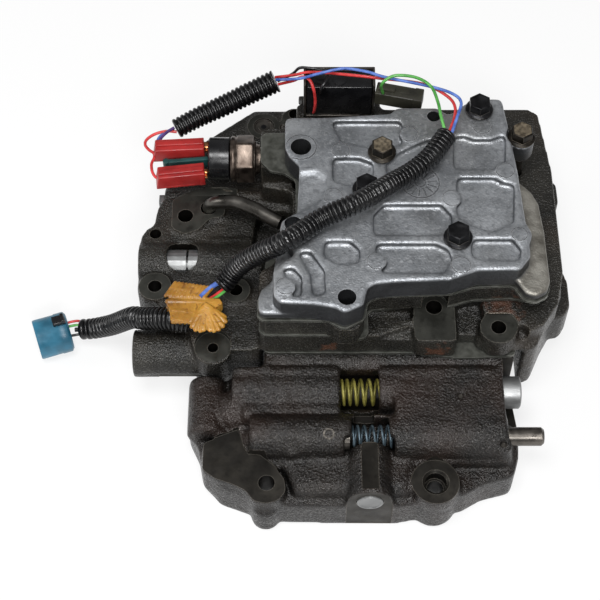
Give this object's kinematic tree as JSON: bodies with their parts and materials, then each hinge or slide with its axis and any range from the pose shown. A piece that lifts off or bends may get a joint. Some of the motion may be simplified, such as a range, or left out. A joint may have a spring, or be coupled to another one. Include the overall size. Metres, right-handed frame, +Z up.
{
  "type": "transmission valve body",
  "caption": "Hydraulic valve body of stacked castings with an aluminium channel cover, sprung valves, a pressure switch, a solenoid and a wiring harness.",
  "frame": {"origin": "centre of the castings' footprint on the surface the part stands on, the free harness left out", "axes": "+Z up through the stack of castings, +X along the valve bores towards the plunger, -Y towards the lower casting in front"},
  "size_m": [0.2773, 0.2272, 0.1091],
  "materials": {
    "brown_iron": "as cast, oily",
    "dark_iron": "as cast, machined lands",
    "aluminium": "die cast",
    "plate_steel": "rolled, oily",
    "black_steel": "black oxide",
    "worn_steel": "worn plating",
    "grey_steel": "ground",
    "bright_steel": "ground bright",
    "yellow_spring_steel": "painted wire",
    "blue_spring_steel": "oiled wire",
    "black_plastic": "moulded",
    "red_plastic": "moulded",
    "teal_plastic": "moulded",
    "blue_plastic": "moulded",
    "olive_plastic": "moulded",
    "copper": "stamped",
    "amber_tape": "wrapped tape",
    "blue_wire": "extruded",
    "red_wire": "extruded",
    "green_wire": "extruded",
    "black_wire": "extruded",
    "purple_wire": "extruded"
  },
  "bodies": {
    "valve_body": {"lower_body": "brown_iron", "middle_body": "dark_iron", "upper_body": "dark_iron", "channel_cover": "aluminium", "cover_plate": "plate_steel", "upper_plate": "plate_steel", "lower_plate": "plate_steel", "cover_bolt_front": "black_steel", "cover_bolt_rear": "black_steel", "cover_bolt_left": "worn_steel", "cover_bolt_centre": "black_steel", "cover_bolt_right": "worn_steel", "transfer_tube": "grey_steel", "yellow_spring": "yellow_spring_steel", "blue_spring": "blue_spring_steel", "plunger_spring": "grey_steel", "bore_plug": "bright_steel", "plug_pin": "grey_steel", "spring_seat": "grey_steel", "plunger_sleeve": "grey_steel", "sleeve_pin": "grey_steel", "front_plug": "bright_steel", "socket_plug": "grey_steel", "edge_tab": "bright_steel", "switch_body": "worn_steel", "switch_cap": "black_plastic", "switch_divider": "teal_plastic", "switch_plug_rear": "red_plastic", "switch_plug_front": "red_plastic", "switch_plug_rear_terminal": "copper", "switch_plug_front_terminal": "copper", "solenoid_frame": "grey_steel", "solenoid_coil": "black_plastic", "coil_connector": "olive_plastic", "upper_conduit": "black_plastic", "main_conduit": "black_plastic", "harness_wires": "blue_wire", "harness_wrap": "amber_tape", "tail_conduit": "black_plastic", "tail_wires": "red_wire", "case_connector": "blue_plastic", "connector_clip": "black_plastic", "blue_wire": "blue_wire", "red_wire_long": "red_wire", "red_wire_coil": "red_wire", "black_wire_coil": "black_wire", "green_wire": "green_wire", "red_wire_switch": "red_wire", "purple_wire_switch": "purple_wire", "blue_wire_switch": "blue_wire"},
    "manual_valve": {"manual_valve": "bright_steel"},
    "shift_valve_a": {"shift_valve_a": "grey_steel"},
    "shift_valve_b": {"shift_valve_b": "grey_steel"},
    "throttle_plunger": {"throttle_plunger": "grey_steel"}
  },
  "joints": [
    {"name": "manual_valve_slide", "type": "slide", "parent": "valve_body", "child": "manual_valve", "axis": [1, 0, 0], "range_m": [-0.009, 0.0072]},
    {"name": "shift_valve_a_slide", "type": "slide", "parent": "valve_body", "child": "shift_valve_a", "axis": [1, 0, 0], "range_m": [0, 0.006], "stiffness_N_per_m": 600, "deforming": ["yellow_spring"]},
    {"name": "shift_valve_b_slide", "type": "slide", "parent": "valve_body", "child": "shift_valve_b", "axis": [1, 0, 0], "range_m": [0, 0.005], "stiffness_N_per_m": 500, "deforming": ["blue_spring"]},
    {"name": "plunger_slide", "type": "slide", "parent": "valve_body", "child": "throttle_plunger", "axis": [-1, 0, 0], "range_m": [0, 0.008], "stiffness_N_per_m": 500, "deforming": ["plunger_spring"]}
  ]
}
